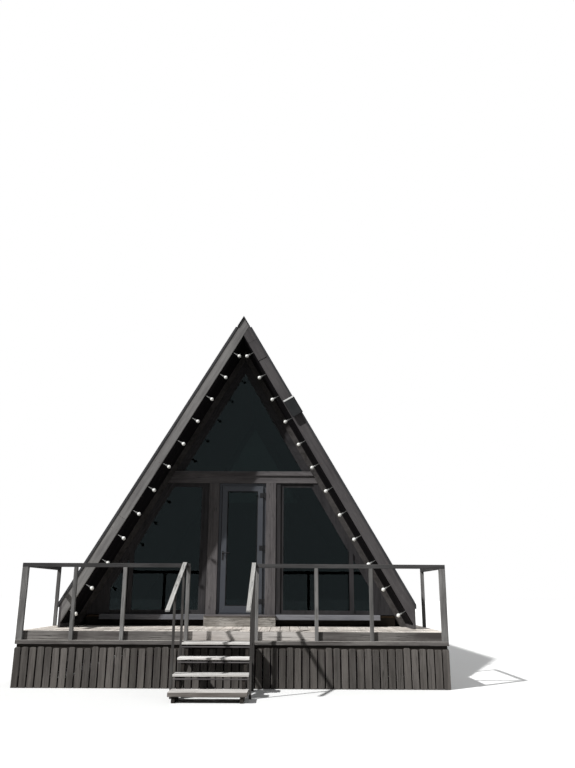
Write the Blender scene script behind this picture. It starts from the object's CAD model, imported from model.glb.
"""Looks of a timber a-frame cabin on a deck: stained and bleached boards, glass, roof sheet, bulbs."""

import logging
import math
import random
from collections.abc import Callable, Sequence
from dataclasses import dataclass
from enum import Enum

import bmesh
import bpy
from mathutils import Matrix, Vector


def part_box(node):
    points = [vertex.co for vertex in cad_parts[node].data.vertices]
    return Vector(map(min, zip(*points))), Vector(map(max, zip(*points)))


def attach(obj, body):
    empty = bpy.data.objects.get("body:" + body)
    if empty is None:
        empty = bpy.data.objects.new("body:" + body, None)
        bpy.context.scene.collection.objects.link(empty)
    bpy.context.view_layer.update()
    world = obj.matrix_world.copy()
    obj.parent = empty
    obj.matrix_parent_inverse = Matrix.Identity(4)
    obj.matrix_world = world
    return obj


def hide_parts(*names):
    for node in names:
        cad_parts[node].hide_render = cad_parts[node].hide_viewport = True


LOG = logging.getLogger("cabin")
Form = bmesh.types.BMesh
Material = bpy.types.Material
Mesh = bpy.types.Mesh
Node = bpy.types.Node
Socket = bpy.types.NodeSocket
Triple = tuple[float, float, float]
Span = tuple[float, float]
Opening = tuple[float, float, float, float]
Axes = tuple[Vector, Vector, Vector]
Outline = Sequence[Span]
Source = Socket | float
Shade = Socket | Triple
Given = Socket | Material | str | float | tuple[float, ...]

ROOF_PITCH = math.radians(60)
PHOTO_WIDTH = 575
NUMBER = "NodeSocketFloat"
ARROW = "NodeSocketVector"
WHOLE = "NodeSocketInt"
SHAPE = "NodeSocketGeometry"
PLACE = "grain_place"
SHIFT = "shift"
TONE = "tone"
GRAIN_REACH = 40.0
TONE_REACH = 0.5
MERGE = 1e-5
FLAT = math.radians(1)
SLACK = 0.001
SAME = 1e-6
NEARLY_DEEP = 0.9
USUAL_EDGE = 0.003
SCREW_TAPER = 0.8
FACING_FRONT = Matrix.Rotation(math.pi / 2, 4, "X")


class Run(Enum):
    """The way a timber's grain runs."""

    ACROSS = (1.0, 0.0, 0.0)
    DEEP = (0.0, 1.0, 0.0)
    UP = (0.0, 0.0, 1.0)

    @property
    def along(self) -> Vector:
        """The direction of the grain."""
        return Vector(self.value)

    @property
    def turn(self) -> Triple:
        """The turn that brings the grain to X."""
        quarter = math.pi / 2
        turns = {Run.ACROSS: (0.0, 0.0, 0.0), Run.DEEP: (0.0, 0.0, quarter), Run.UP: (0.0, quarter, 0.0)}
        return turns[self]


class Slot(Enum):
    """The record's material slots that the new pieces stand in."""

    STAINED = "stained_timber"
    BARGEBOARD = "bargeboard_timber"
    WEATHERED = "weathered_timber"
    DOOR_GREY = "door_grey"
    BLACK_METAL = "black_metal"
    LIGHT_STRING = "light_string"


class Body(Enum):
    """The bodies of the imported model."""

    CABIN = "cabin"
    DOOR = "door"


class Side(Enum):
    """A side of the roof or deck, as the sign of X."""

    LEFT = -1
    RIGHT = 1

    @property
    def word(self) -> str:
        """The side as the names of pieces and nodes have it."""
        return self.name.lower()

    @property
    def down(self) -> Vector:
        """The direction down the slope."""
        return Vector((self.value * math.cos(ROOF_PITCH), 0, -math.sin(ROOF_PITCH)))

    @property
    def out(self) -> Vector:
        """The direction out of the slope."""
        return Vector((self.value * math.sin(ROOF_PITCH), 0, math.cos(ROOF_PITCH)))

    @property
    def frame(self) -> Matrix:
        """The turn that brings X down the slope and Z out of it."""
        return Matrix((self.down, Vector((0, 1, 0)), self.out)).transposed().to_4x4()


@dataclass(frozen=True)
class RoofLine:
    """The outer planes of the roof, from which all that lies on the slope is placed."""

    apex: float

    def half_at(self, height: float, inset: float) -> float:
        """Half of the width at a height, for a plane that lies inset under the roof's outside."""
        return (self.apex - height) / math.tan(ROOF_PITCH) - inset / math.sin(ROOF_PITCH)

    def height_at(self, x: float, inset: float) -> float:
        """Height of the plane at a distance from the middle."""
        return self.apex - (x + inset / math.sin(ROOF_PITCH)) * math.tan(ROOF_PITCH)


@dataclass(frozen=True)
class Pattern:
    """A stretched noise, and the values of it that a mask spreads over 0 to 1."""

    repeats: Triple
    detail: float
    rough: float
    low: float
    high: float
    scale: float = 1.0


STREAKS = Pattern((1.1, 16.0, 16.0), detail=5.0, rough=0.62, low=0.36, high=0.66)
FIBRES = Pattern((6.0, 150.0, 150.0), detail=3.0, rough=0.6, low=0.34, high=0.68)
PATCHES = Pattern((1.3, 2.6, 2.6), detail=4.0, rough=0.55, low=0.38, high=0.66)
SPLITS = Pattern((0.9, 42.0, 42.0), detail=2.0, rough=0.5, low=0.018, high=0.004)
RAIN_RUNS = Pattern((9.0, 9.0, 0.7), detail=4.0, rough=0.6, low=0.5, high=0.78, scale=2.2)


class Wiring:
    """Adds shader or geometry nodes to one tree and joins them."""

    def __init__(self, tree: bpy.types.NodeTree) -> None:
        """Starts from an empty tree.

        Args:
            tree: the node tree to fill.
        """
        self.tree = tree
        tree.nodes.clear()

    def add(self, kind: str, settings: dict[str, object] | None = None, **inputs: Given) -> Node:
        """Adds a node.

        Args:
            kind: Blender's name of the node type.
            settings: properties of the node itself.
            inputs: what its inputs get, written as for give.

        Returns:
            The new node.
        """
        node = self.tree.nodes.new(kind)
        for key, value in (settings or {}).items():
            setattr(node, key, value)
        self.give(node, **inputs)
        return node

    def give(self, node: Node, **inputs: Given) -> None:
        """Sets or links inputs of a node.

        Args:
            node: the node.
            inputs: values or outputs, by the input's name with _ for a space, or by n and its number.
        """
        for key, value in inputs.items():
            numbered = key[0] == "n" and key[1:].isdigit()
            target = node.inputs[int(key[1:]) if numbered else key.replace("_", " ")]
            if isinstance(value, Socket):
                self.tree.links.new(value, target)
            else:
                target.default_value = value

    def mix(self, factor: Source, low: Shade, high: Shade, blend: str = "MIX") -> Socket:
        """Mixes two colours.

        Args:
            factor: share of the second colour.
            low: first colour.
            high: second colour.
            blend: how they mix.

        Returns:
            The colour output.
        """
        low, high = (part if isinstance(part, Socket) else (*part, 1.0) for part in (low, high))
        node = self.add("ShaderNodeMix", {"data_type": "RGBA", "blend_type": blend},
                        n0=factor, n6=low, n7=high)
        return node.outputs[2]

    def cover(self, colour: Shade, mask: Socket, share: float, shade: Shade) -> Socket:
        """Lays a shade over a colour where a mask shows.

        Args:
            colour: the colour under it.
            mask: where the shade lies.
            share: how much of the shade the full mask gives.
            shade: the colour over it.

        Returns:
            The colour output.
        """
        return self.mix(self.maths("MULTIPLY", mask, share), colour, shade)

    def maths(self, operation: str, first: Source, second: Source = 0.0, clamp: bool = False) -> Socket:
        """Joins two values by a sum, product or other operation.

        Args:
            operation: Blender's name of the operation.
            first: first value.
            second: second value.
            clamp: whether the result is kept from 0 to 1.

        Returns:
            The value output.
        """
        settings = {"operation": operation, "use_clamp": clamp}
        return self.add("ShaderNodeMath", settings, n0=first, n1=second).outputs[0]

    def ramp(self, value: Socket, low: float, high: float) -> Socket:
        """Spreads the stretch from low to high over 0 to 1.

        Args:
            value: the value output to spread.
            low: the value that becomes 0.
            high: the value that becomes 1.

        Returns:
            The value output.
        """
        node = self.add("ShaderNodeMapRange", {"interpolation_type": "SMOOTHSTEP"},
                        Value=value, From_Min=low, From_Max=high)
        return node.outputs[0]

    def noise(self, place: Socket, scale: Source, detail: float = 2.0, rough: float = 0.5) -> Socket:
        """Adds a cloudy noise.

        Args:
            place: where it is read.
            scale: how often it repeats in a metre.
            detail: its octaves.
            rough: share that each octave keeps.

        Returns:
            The value output.
        """
        node = self.add("ShaderNodeTexNoise", Vector=place, Scale=scale, Detail=detail, Roughness=rough)
        return node.outputs["Fac"]

    def stretched(self, place: Socket, pattern: Pattern) -> Socket:
        """Adds the noise of a pattern."""
        mapped = self.add("ShaderNodeMapping", Vector=place, Scale=pattern.repeats)
        return self.noise(mapped.outputs[0], pattern.scale, pattern.detail, pattern.rough)

    def mask(self, place: Socket, pattern: Pattern) -> Socket:
        """Adds the noise of a pattern, spread over 0 to 1."""
        return self.ramp(self.stretched(place, pattern), pattern.low, pattern.high)

    def relief(self, height: Socket, strength: float, distance: float) -> Socket:
        """Turns heights into the normals of a rough surface."""
        node = self.add("ShaderNodeBump", Height=height, Strength=strength, Distance=distance)
        return node.outputs[0]

    def object_place(self) -> Socket:
        """Where a point lies on its object."""
        return self.add("ShaderNodeTexCoord").outputs["Object"]

    def stored(self, name: str) -> Node:
        """Reads what each point of the mesh stores under a name."""
        return self.add("ShaderNodeAttribute", {"attribute_name": name})


class Surface(Wiring):
    """A new material with a Principled surface, and its wiring."""

    def __init__(self, name: str) -> None:
        """Starts the material.

        Args:
            name: the material's name.
        """
        self.material = bpy.data.materials.new(name)
        self.material.use_nodes = True
        super().__init__(self.material.node_tree)
        self.shader = self.add("ShaderNodeBsdfPrincipled")
        self.add("ShaderNodeOutputMaterial", Surface=self.shader.outputs[0])

    def show(self, **inputs: Given) -> None:
        """Sets or links inputs of the surface shader, written as for give."""
        self.give(self.shader, **inputs)


def new_group(name: str, inputs: dict[str, tuple[str, float | None]],
              outputs: Sequence[str]) -> tuple[bpy.types.NodeTree, Wiring]:
    """Starts a shader node group with named inputs, and outputs that are numbers.

    Args:
        name: the group's name.
        inputs: socket type and default value, by name.
        outputs: the outputs' names.

    Returns:
        The group and the wiring that fills it.
    """
    group = bpy.data.node_groups.new(name, "ShaderNodeTree")
    wiring = Wiring(group)
    for key, (kind, default) in inputs.items():
        socket = group.interface.new_socket(key, in_out="INPUT", socket_type=kind)
        if default is not None:
            socket.default_value = default
    for key in outputs:
        group.interface.new_socket(key, in_out="OUTPUT", socket_type=NUMBER)
    return group, wiring


class GrainGroup:
    """Shader group for sawn timber: streaks, fibres, weather patches, knots and drying cracks."""

    FIBRE_RISE = 0.55
    STREAK_RISE = 0.6
    KNOT_REPEATS = (3.0, 8.0, 8.0)
    KNOT_RARITY = 0.7
    KNOT_EDGE = 0.16
    KNOT_CORE = 0.05

    def __init__(self) -> None:
        """Builds the group once."""
        self.group, w = new_group(
            "timber grain", {"Vector": (ARROW, None), "Scale": (NUMBER, 1.0)},
            ("Streak", "Fibre", "Patch", "Knot", "Crack", "Height"))
        start = w.add("NodeGroupInput")
        sized = w.add("ShaderNodeVectorMath", {"operation": "SCALE"}, n0=start.outputs["Vector"],
                      Scale=start.outputs["Scale"])
        place = sized.outputs[0]
        streak, fibre, patch = (w.mask(place, pattern) for pattern in (STREAKS, FIBRES, PATCHES))
        ridge = w.maths("ABSOLUTE", w.maths("SUBTRACT", w.stretched(place, SPLITS), 0.5))
        crack = w.maths("MULTIPLY", w.ramp(ridge, SPLITS.low, SPLITS.high), patch)
        rise = w.maths("ADD", w.maths("MULTIPLY", fibre, self.FIBRE_RISE),
                       w.maths("MULTIPLY", streak, self.STREAK_RISE))
        w.add("NodeGroupOutput", Streak=streak, Fibre=fibre, Patch=patch, Knot=self.knots(w, place),
              Crack=crack, Height=w.maths("SUBTRACT", rise, crack))

    def knots(self, w: Wiring, place: Socket) -> Socket:
        """Sparse oval knots.

        Args:
            w: the group's wiring.
            place: where they are read.

        Returns:
            The value output, 1 in the middle of a knot.
        """
        mapped = w.add("ShaderNodeMapping", Vector=place, Scale=self.KNOT_REPEATS)
        cells = w.add("ShaderNodeTexVoronoi", Vector=mapped.outputs[0], Scale=1.0)
        chance = w.add("ShaderNodeSeparateColor", Color=cells.outputs["Color"])
        rare = w.maths("GREATER_THAN", chance.outputs[0], self.KNOT_RARITY)
        oval = w.ramp(cells.outputs["Distance"], self.KNOT_EDGE, self.KNOT_CORE)
        return w.maths("MULTIPLY", oval, rare)


class GrimeGroup:
    """Shader group for dust on upward faces, rain marks on upright ones and a mask of the tops."""

    def __init__(self) -> None:
        """Builds the group once."""
        self.group, w = new_group(
            "dust and rain marks",
            {"Vector": (ARROW, None), "Normal": (ARROW, None), "Amount": (NUMBER, 0.5),
             "Scale": (NUMBER, 3.0)},
            ("Dust", "Marks", "Top"))
        start = w.add("NodeGroupInput")
        place = start.outputs["Vector"]
        amount = start.outputs["Amount"]
        split = w.add("ShaderNodeSeparateXYZ", Vector=start.outputs["Normal"])
        top = w.ramp(split.outputs["Z"], low=0.45, high=0.9)
        cloud = w.noise(place, start.outputs["Scale"], detail=6.0, rough=0.65)
        blotch = w.ramp(cloud, low=0.35, high=0.7)
        dust = w.maths("MULTIPLY", w.maths("MULTIPLY", top, blotch), amount, clamp=True)
        marks = w.maths("MULTIPLY", w.mask(place, RAIN_RUNS), amount, clamp=True)
        w.add("NodeGroupOutput", Dust=dust, Marks=marks, Top=top)


@dataclass(frozen=True)
class Groups:
    """The shader groups that the finishes share."""

    grain: bpy.types.NodeTree
    grime: bpy.types.NodeTree

    def grimed(self, w: Wiring, amount: float) -> Node:
        """Adds the dust and rain marks of a material.

        Args:
            w: the material's wiring.
            amount: share of the surface that they cover.

        Returns:
            The group node.
        """
        facing = w.add("ShaderNodeNewGeometry")
        return w.add("ShaderNodeGroup", {"node_tree": self.grime}, Vector=w.object_place(),
                     Normal=facing.outputs["Normal"], Amount=amount)


def darker(colour: Triple, share: float) -> Triple:
    """Gives a share of a colour."""
    return tuple(share * part for part in colour)


@dataclass(frozen=True)
class Finish:
    """A finish of the cabin, made into a material when a piece first asks for it."""

    name: str

    def material(self, groups: Groups, run: Run | None = None) -> Material:
        """Gives the finish for timbers that store their own grain, or whose grain runs one way.

        Args:
            groups: the shared shader groups.
            run: the way the grain runs, or None where there is none or each timber stores its own.

        Returns:
            The material.
        """
        label = f"{self.name} {run.name.lower()}" if run else self.name
        found = bpy.data.materials.get(label)
        if found:
            return found
        w = Surface(label)
        self.fill(w, groups, run)
        return w.material

    def fill(self, w: Surface, groups: Groups, run: Run | None) -> None:
        """Adds the finish's own nodes.

        Args:
            w: the new material.
            groups: the shared shader groups.
            run: the way the grain runs, if it is the same all over.
        """
        raise NotImplementedError


@dataclass(frozen=True)
class Timber(Finish):
    """A timber finish: stained or bare boards with grain, knots, cracks, weather patches and dust."""

    base: Triple
    streak: Triple
    weather: Triple
    top: Triple | None = None
    rough: float = 0.72
    weathered: float = 0.45
    bump: float = 0.35
    dust: float = 0.2
    scale: float = 1.0
    tone: float = 0.4
    knots: float = 0.5
    cracks: float = 0.5
    gloss: float = 0.12

    DUST = (0.42, 0.40, 0.36)
    DARK = 0.5
    DEEP = 0.18
    FADED = 0.72
    FIBRE_SHARE = 0.3
    MARK_SHARE = 0.35
    FIBRE_ROUGH = 0.18
    RELIEF = 0.004

    def fill(self, w: Surface, groups: Groups, run: Run | None) -> None:
        """Adds the grain and the dust.

        Args:
            w: the new material.
            groups: the shared shader groups.
            run: the way the grain runs, or None where each timber stores its own.
        """
        grain = w.add("ShaderNodeGroup", {"node_tree": groups.grain}, Vector=self.place(w, run),
                      Scale=self.scale)
        grime = groups.grimed(w, self.dust)
        spread = w.maths("MULTIPLY", grain.outputs["Fibre"], self.FIBRE_ROUGH)
        w.show(Base_Color=self.colour(w, grain, grime),
               Roughness=w.maths("ADD", self.rough, spread, clamp=True),
               Normal=w.relief(grain.outputs["Height"], self.bump, self.RELIEF),
               Specular_IOR_Level=self.gloss)

    @staticmethod
    def place(w: Wiring, run: Run | None) -> Socket:
        """Where the grain is read, with X along it.

        Args:
            w: the material's wiring.
            run: the way the grain runs, or None where each timber stores its own.

        Returns:
            The vector output.
        """
        if run is None:
            both = w.add("ShaderNodeVectorMath", {"operation": "ADD"},
                         n0=w.stored(PLACE).outputs["Vector"], n1=w.stored(SHIFT).outputs["Vector"])
            return both.outputs[0]
        turned = w.add("ShaderNodeMapping", Vector=w.object_place(), Rotation=run.turn)
        return turned.outputs[0]

    def colour(self, w: Wiring, grain: Node, grime: Node) -> Socket:
        """The colour, from grain, weather, knots, cracks, dust and each board's own tone.

        Args:
            w: the material's wiring.
            grain: the grain group's node.
            grime: the grime group's node.

        Returns:
            The colour output.
        """
        dark = darker(self.base, self.DARK)
        streak = grain.outputs["Streak"]
        colour = w.mix(streak, self.base, self.streak)
        colour = w.cover(colour, grain.outputs["Patch"], self.weathered, self.weather)
        if self.top:
            bleached = w.mix(streak, self.top, darker(self.top, self.FADED))
            colour = w.mix(grime.outputs["Top"], colour, bleached)
        colour = w.cover(colour, grain.outputs["Fibre"], self.FIBRE_SHARE, dark)
        colour = w.cover(colour, grain.outputs["Knot"], self.knots, dark)
        colour = w.cover(colour, grain.outputs["Crack"], self.cracks, darker(self.base, self.DEEP))
        colour = w.mix(grime.outputs["Dust"], colour, self.DUST)
        colour = w.cover(colour, grime.outputs["Marks"], self.MARK_SHARE, dark)
        own = w.maths("MULTIPLY", w.stored(TONE).outputs["Fac"], self.tone)
        lift = w.maths("ADD", 1.0, own)
        grey = w.add("ShaderNodeCombineColor", Red=lift, Green=lift, Blue=lift)
        return w.mix(1.0, colour, grey.outputs[0], "MULTIPLY")


@dataclass(frozen=True)
class Coated(Finish):
    """A painted metal or moulded finish with scuffs and dust."""

    colour: Triple
    worn: Triple
    rough: float = 0.4
    dust: float = 0.3
    bump: float = 0.08
    gloss: float = 0.5

    DUST = (0.34, 0.32, 0.29)
    MARK_SHARE = 0.5
    CLOUD_ROUGH = 0.22
    RELIEF = 0.001

    def fill(self, w: Surface, groups: Groups, run: Run | None) -> None:
        """Adds the scuffs, specks and dust.

        Args:
            w: the new material.
            groups: the shared shader groups.
            run: not used, because paint has no grain.
        """
        place = w.object_place()
        cloud = w.noise(place, scale=2.3, detail=7.0, rough=0.62)
        speck = w.noise(place, scale=90.0, detail=3.0)
        grime = groups.grimed(w, self.dust)
        colour = w.mix(w.ramp(cloud, low=0.42, high=0.72), self.colour, self.worn)
        colour = w.mix(w.ramp(speck, low=0.62, high=0.72), colour, self.worn)
        colour = w.cover(colour, grime.outputs["Marks"], self.MARK_SHARE, self.worn)
        spread = w.maths("MULTIPLY", cloud, self.CLOUD_ROUGH)
        w.show(Base_Color=w.mix(grime.outputs["Dust"], colour, self.DUST),
               Roughness=w.maths("ADD", self.rough, spread, clamp=True),
               Normal=w.relief(speck, self.bump, self.RELIEF),
               Specular_IOR_Level=self.gloss)


@dataclass(frozen=True)
class Glazing(Finish):
    """Dark window glass, a little wavy and a little dusty."""

    tint: Triple
    shine: Triple
    rough: float = 0.02
    dust: float = 0.5

    SHADED = 0.55
    MARK_SHARE = 0.4
    FILM_ROUGH = 0.06
    INDEX = 1.5

    def fill(self, w: Surface, groups: Groups, run: Run | None) -> None:
        """Adds the film of dust and the ripple.

        Args:
            w: the new material.
            groups: the shared shader groups.
            run: not used, because glass has no grain.
        """
        place = w.object_place()
        film = w.ramp(w.noise(place, scale=2.6, detail=8.0, rough=0.7), low=0.45, high=0.8)
        shade = darker(self.tint, self.SHADED)
        marks = groups.grimed(w, self.dust).outputs["Marks"]
        w.show(Base_Color=w.cover(w.mix(film, self.tint, shade), marks, self.MARK_SHARE, shade),
               Roughness=w.maths("ADD", self.rough, w.maths("MULTIPLY", film, self.FILM_ROUGH)),
               Normal=w.relief(w.noise(place, scale=1.2), strength=0.05, distance=0.01),
               IOR=self.INDEX, Transmission_Weight=1.0, Specular_Tint=(*self.shine, 1.0))


SOFFIT = Timber("black stained soffit boards", (0.005, 0.004, 0.005), (0.002, 0.002, 0.002),
                (0.008, 0.007, 0.008), rough=0.8, dust=0.0, tone=0.5, gloss=0.05)
LINING = Timber("dark lining boards", (0.058, 0.053, 0.052), (0.031, 0.029, 0.027),
                (0.098, 0.091, 0.087), weathered=0.6, dust=0.05, cracks=0.8, gloss=0.08)
FRAME_BARS = Timber("dark stained frame bars", (0.034, 0.032, 0.034), (0.020, 0.019, 0.020),
                    (0.060, 0.056, 0.058), rough=0.6, dust=0.1)
UNDER = Timber("rough timber under the deck", (0.040, 0.034, 0.030), (0.020, 0.018, 0.016),
               (0.068, 0.060, 0.053), rough=0.85)
POST = Timber("brown grey stained timber", (0.113, 0.105, 0.106), (0.064, 0.058, 0.060),
              (0.160, 0.149, 0.149), rough=0.66, weathered=0.5, dust=0.1, tone=0.2, cracks=0.8)
BARGE = Timber("grey stained boards", (0.194, 0.188, 0.183), (0.127, 0.121, 0.120),
               (0.263, 0.257, 0.247), rough=0.6, weathered=0.6, bump=0.25, dust=0.15, tone=0.2,
               knots=0.3, cracks=0.3)
BARGE_DARK = Timber("brown stained boards", (0.069, 0.064, 0.065), (0.044, 0.040, 0.042),
                    (0.097, 0.091, 0.091), rough=0.6, weathered=0.6, bump=0.25, dust=0.15, tone=0.2,
                    knots=0.3, cracks=0.3)
SKIRTING = Timber("skirt boards", (0.114, 0.104, 0.095), (0.059, 0.053, 0.049),
                  (0.161, 0.148, 0.138), weathered=0.5, bump=0.45, dust=0.25, tone=0.6, cracks=0.9)
FASCIA = Timber("weathered fascia", (0.126, 0.116, 0.110), (0.067, 0.059, 0.056),
                (0.244, 0.230, 0.216), top=(0.452, 0.434, 0.405), weathered=0.8, bump=0.5, dust=0.3,
                cracks=1.0)
WORN = Timber("trodden fascia", (0.66, 0.61, 0.57), (0.44, 0.40, 0.37), (0.76, 0.73, 0.69),
              top=(0.62, 0.58, 0.53), rough=0.85, weathered=0.6, bump=0.6, dust=0.0, cracks=1.0)
DECKING = Timber("bleached decking", (0.711, 0.648, 0.584), (0.481, 0.435, 0.389),
                 (0.802, 0.757, 0.698), rough=0.8, weathered=0.6, bump=0.5, dust=0.1, tone=0.35,
                 cracks=0.9)
TREAD = Timber("bleached treads", (0.801, 0.773, 0.738), (0.526, 0.503, 0.475),
               (0.900, 0.899, 0.869), top=(0.847, 0.829, 0.801), rough=0.85, weathered=0.6,
               bump=0.7, dust=0.0, cracks=1.0)
FOOT_TREAD = Timber("bleached foot board", (0.195, 0.176, 0.160), (0.120, 0.106, 0.096),
                    (0.27, 0.25, 0.23), top=(0.62, 0.595, 0.565), rough=0.85, weathered=0.6,
                    bump=0.7, dust=0.0, cracks=0.9)
HANDRAIL = Timber("silver grey timber", (0.260, 0.256, 0.248), (0.144, 0.141, 0.136),
                  (0.404, 0.398, 0.387), top=(0.462, 0.457, 0.439), rough=0.85, weathered=0.8,
                  bump=0.9, scale=1.4, cracks=1.0)
RAIL_POST = Timber("grey posts", (0.187, 0.182, 0.177), (0.094, 0.090, 0.087),
                   (0.281, 0.276, 0.266), weathered=0.6, bump=0.5, cracks=1.0)
TOP_RAIL = Timber("dark rail boards", (0.062, 0.060, 0.060), (0.034, 0.033, 0.033),
                  (0.100, 0.097, 0.095), weathered=0.6, cracks=0.8)
DARK_TIMBER = Timber("dark brown timber", (0.064, 0.060, 0.057), (0.034, 0.032, 0.030),
                     (0.105, 0.100, 0.095), weathered=0.6, dust=0.1, cracks=0.8)
SILL = Timber("painted sill", (0.143, 0.144, 0.158), (0.101, 0.103, 0.114), (0.198, 0.199, 0.213),
              top=(0.220, 0.225, 0.239), rough=0.5, weathered=0.6, bump=0.2, knots=0.2)
THRESHOLD = Timber("rough threshold timber", (0.255, 0.240, 0.217), (0.128, 0.117, 0.105),
                   (0.374, 0.357, 0.332), weathered=0.9, bump=1.2, scale=2.2, cracks=1.0)
ROOM = Timber("room boards", (0.12, 0.085, 0.055), (0.08, 0.056, 0.036), (0.15, 0.11, 0.075),
              rough=0.5, weathered=0.3, bump=0.15, dust=0.0)
SHEET = Coated("black roof sheet", (0.022, 0.022, 0.024), (0.045, 0.045, 0.047), rough=0.35,
               dust=0.35, gloss=0.3)
DOOR_GREY = Coated("graphite door frame", (0.043, 0.047, 0.056), (0.058, 0.063, 0.071), rough=0.38,
                   dust=0.2, bump=0.15, gloss=0.25)
BLACK = Coated("black metal", (0.008, 0.008, 0.009), (0.018, 0.018, 0.019), rough=0.45, dust=0.1,
               gloss=0.15)
RUBBER = Coated("black seal", (0.008, 0.008, 0.008), (0.016, 0.016, 0.016), rough=0.6, dust=0.0,
                gloss=0.1)
BARE = Coated("bare grey metal", (0.62, 0.62, 0.61), (0.42, 0.41, 0.40), rough=0.35, dust=0.1)
SOCKET = Coated("grey bulb sockets", (0.16, 0.16, 0.155), (0.10, 0.10, 0.098), rough=0.5, dust=0.1)
OPAL = Coated("opal bulb glass", (0.84, 0.84, 0.81), (0.72, 0.72, 0.68), rough=0.15, dust=0.1,
              bump=0.02)
LENS = Coated("dark lamp lens", (0.016, 0.017, 0.018), (0.030, 0.032, 0.033), rough=0.12, dust=0.1,
              bump=0.3, gloss=0.12)
NAIL = Coated("rusty nail heads", (0.075, 0.050, 0.038), (0.13, 0.12, 0.11), rough=0.6, dust=0.0)
WINDOW = Glazing("window glass", (0.040, 0.056, 0.054), (0.24, 0.31, 0.33))


def grain_axes(along: Vector) -> Axes:
    """Gives the axes of a timber's grain, the first one along it."""
    side = Vector((0, 1, 0)) if abs(along.y) < NEARLY_DEEP else Vector((1, 0, 0))
    return along, side, along.cross(side)


def grain_spot(point: Vector, axes: Axes) -> Vector:
    """Gives where a point lies in its timber's grain."""
    return Vector(point.dot(axis) for axis in axes)


def draw_timber(chance: random.Random) -> tuple[Vector, float]:
    """Draws where a timber was cut from the grain, and its tone."""
    shift = Vector(chance.uniform(0, GRAIN_REACH) for _ in range(3))
    return shift, chance.uniform(-TONE_REACH, TONE_REACH)


def store_place(mesh: Mesh, along: Vector) -> Mesh:
    """Stores where each point lies in its timber's grain.

    Args:
        mesh: the mesh.
        along: the direction of the grain.

    Returns:
        The same mesh.
    """
    axes = grain_axes(along)
    layer = mesh.attributes.new(PLACE, "FLOAT_VECTOR", "POINT")
    for point, vert in zip(layer.data, mesh.vertices):
        point.vector = grain_spot(vert.co, axes)
    return mesh


def round_edges(form: Form, width: float, segments: int = 2, least: float = 20.0) -> None:
    """Rounds the edges of a form that are sharper than an angle.

    Args:
        form: the form to change.
        width: the rounding's width in metres.
        segments: faces over each rounding.
        least: the least angle that is rounded, in degrees.
    """
    sharp = [edge for edge in form.edges
             if len(edge.link_faces) == 2 and edge.calc_face_angle(0.0) > math.radians(least)]
    bmesh.ops.bevel(form, geom=sharp, offset=width, segments=segments, profile=0.5,
                    affect="EDGES", clamp_overlap=True)


def tidy_form(node: str) -> Form:
    """Copies a CAD node's mesh, merges its loose triangles and joins its flat faces.

    Args:
        node: the CAD node's name.

    Returns:
        The copy.
    """
    form = bmesh.new()
    form.from_mesh(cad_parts[node].data)
    bmesh.ops.remove_doubles(form, verts=form.verts, dist=MERGE)
    bmesh.ops.dissolve_limit(form, angle_limit=FLAT, verts=form.verts, edges=form.edges)
    return form


def split_timbers(form: Form) -> list[list[bmesh.types.BMVert]]:
    """Finds the separate timbers in a form.

    Args:
        form: the form to read.

    Returns:
        The points of each timber, in a fixed order.
    """
    form.verts.ensure_lookup_table()
    seen = [False] * len(form.verts)
    timbers = []
    for first in form.verts:
        if seen[first.index]:
            continue
        seen[first.index] = True
        group = [first]
        for vert in group:
            for edge in vert.link_edges:
                other = edge.other_vert(vert)
                if not seen[other.index]:
                    seen[other.index] = True
                    group.append(other)
        timbers.append(group)
    return timbers


def own_grain(form: Form, seed: int, sloped: bool) -> None:
    """Gives each timber of a form its own grain, along its longest side or the slope, and tone.

    Args:
        form: the form to change.
        seed: start of the random tones.
        sloped: whether the grain follows the roof's slope.
    """
    chance = random.Random(seed)
    place = form.verts.layers.float_vector.new(PLACE)
    tone = form.verts.layers.float.new(TONE)
    form.verts.index_update()
    for group in split_timbers(form):
        low = [min(vert.co[i] for vert in group) for i in range(3)]
        high = [max(vert.co[i] for vert in group) for i in range(3)]
        longest = max(range(3), key=lambda i: high[i] - low[i])
        along = Vector(1.0 if i == longest else 0.0 for i in range(3))
        if sloped:
            along = (Side.RIGHT if low[0] + high[0] > 0 else Side.LEFT).down
        axes = grain_axes(along)
        shift, value = draw_timber(chance)
        for vert in group:
            vert[place] = grain_spot(vert.co, axes) + shift
            vert[tone] = value


@dataclass(frozen=True)
class Entry:
    """What the table says of a piece: its slot, its body and the CAD nodes that it stands for."""

    slot: Slot
    body: Body = Body.CABIN
    replaces: tuple[str, ...] = ()


def new_piece(name: str, mesh: Mesh) -> bpy.types.Object:
    """Links a mesh into the scene as a new object at the origin.

    Args:
        name: the object's name.
        mesh: its mesh.

    Returns:
        The new object.
    """
    piece = bpy.data.objects.new(name, mesh)
    bpy.context.scene.collection.objects.link(piece)
    return piece


def finish_piece(piece: bpy.types.Object, materials: list[Material], entry: Entry) -> None:
    """Gives a piece its finishes, its body and the nodes that it stands for.

    Args:
        piece: the finished mesh object.
        materials: its finishes, in the order of its faces' numbers.
        entry: its slot, body and nodes.
    """
    numbers = [polygon.material_index for polygon in piece.data.polygons]
    piece.data.materials.clear()
    for material in materials:
        piece.data.materials.append(material)
    for polygon, number in zip(piece.data.polygons, numbers):
        polygon.material_index = min(number, len(materials) - 1)
    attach(piece, entry.body.value)
    if entry.replaces:
        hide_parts(*entry.replaces)
    LOG.info("piece %s on %s: %d faces", piece.name, entry.body.value, len(piece.data.polygons))


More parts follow.
